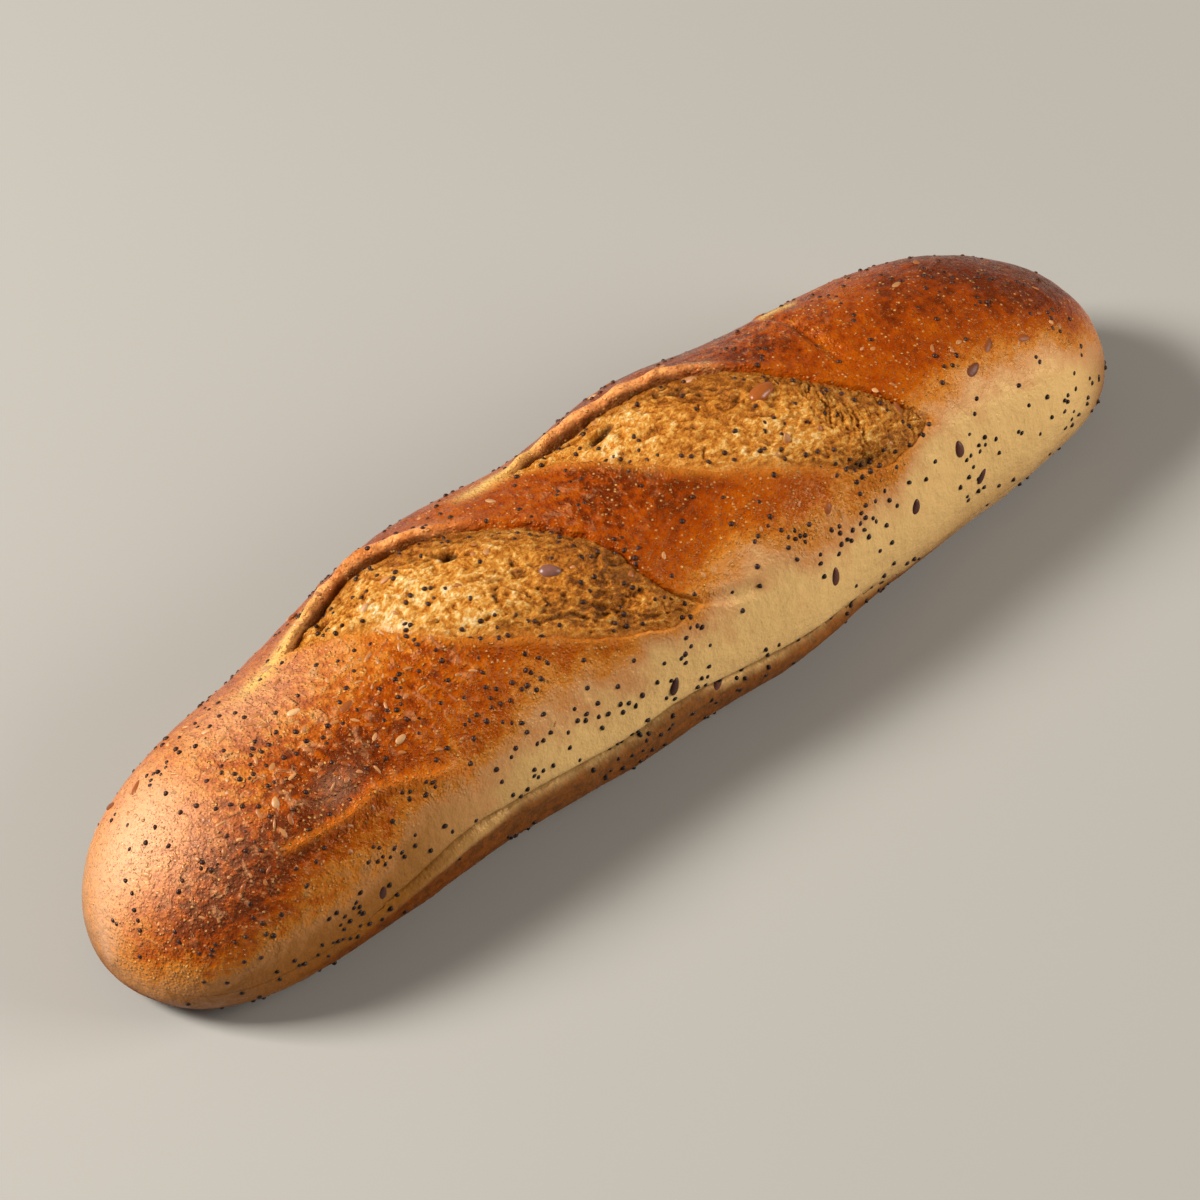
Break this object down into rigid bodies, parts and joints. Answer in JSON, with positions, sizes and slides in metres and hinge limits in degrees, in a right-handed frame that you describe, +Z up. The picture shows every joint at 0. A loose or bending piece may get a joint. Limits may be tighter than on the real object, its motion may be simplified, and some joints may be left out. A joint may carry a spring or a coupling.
{
  "type": "vienna loaf",
  "caption": "Long seeded white loaf with two slanting opened cuts, a browned crust and a flat base to lie on.",
  "frame": {"origin": "on the ground under the middle of the loaf", "axes": "+X along the loaf to its right end, +Y to its back flank, +Z up out of the crust"},
  "size_m": [0.28, 0.0793, 0.0539],
  "materials": {
    "crust": "golden to dark brown baked crust, satin",
    "crumb": "torn crumb toasted golden, matte with a slight sheen",
    "poppy_seed": "blue-black, finely pitted",
    "linseed": "dark reddish brown, satin",
    "pale_seed": "cream sesame and broken grain, satin"
  },
  "bodies": {
    "root": {"loaf": "crust"}
  },
  "joints": []
}
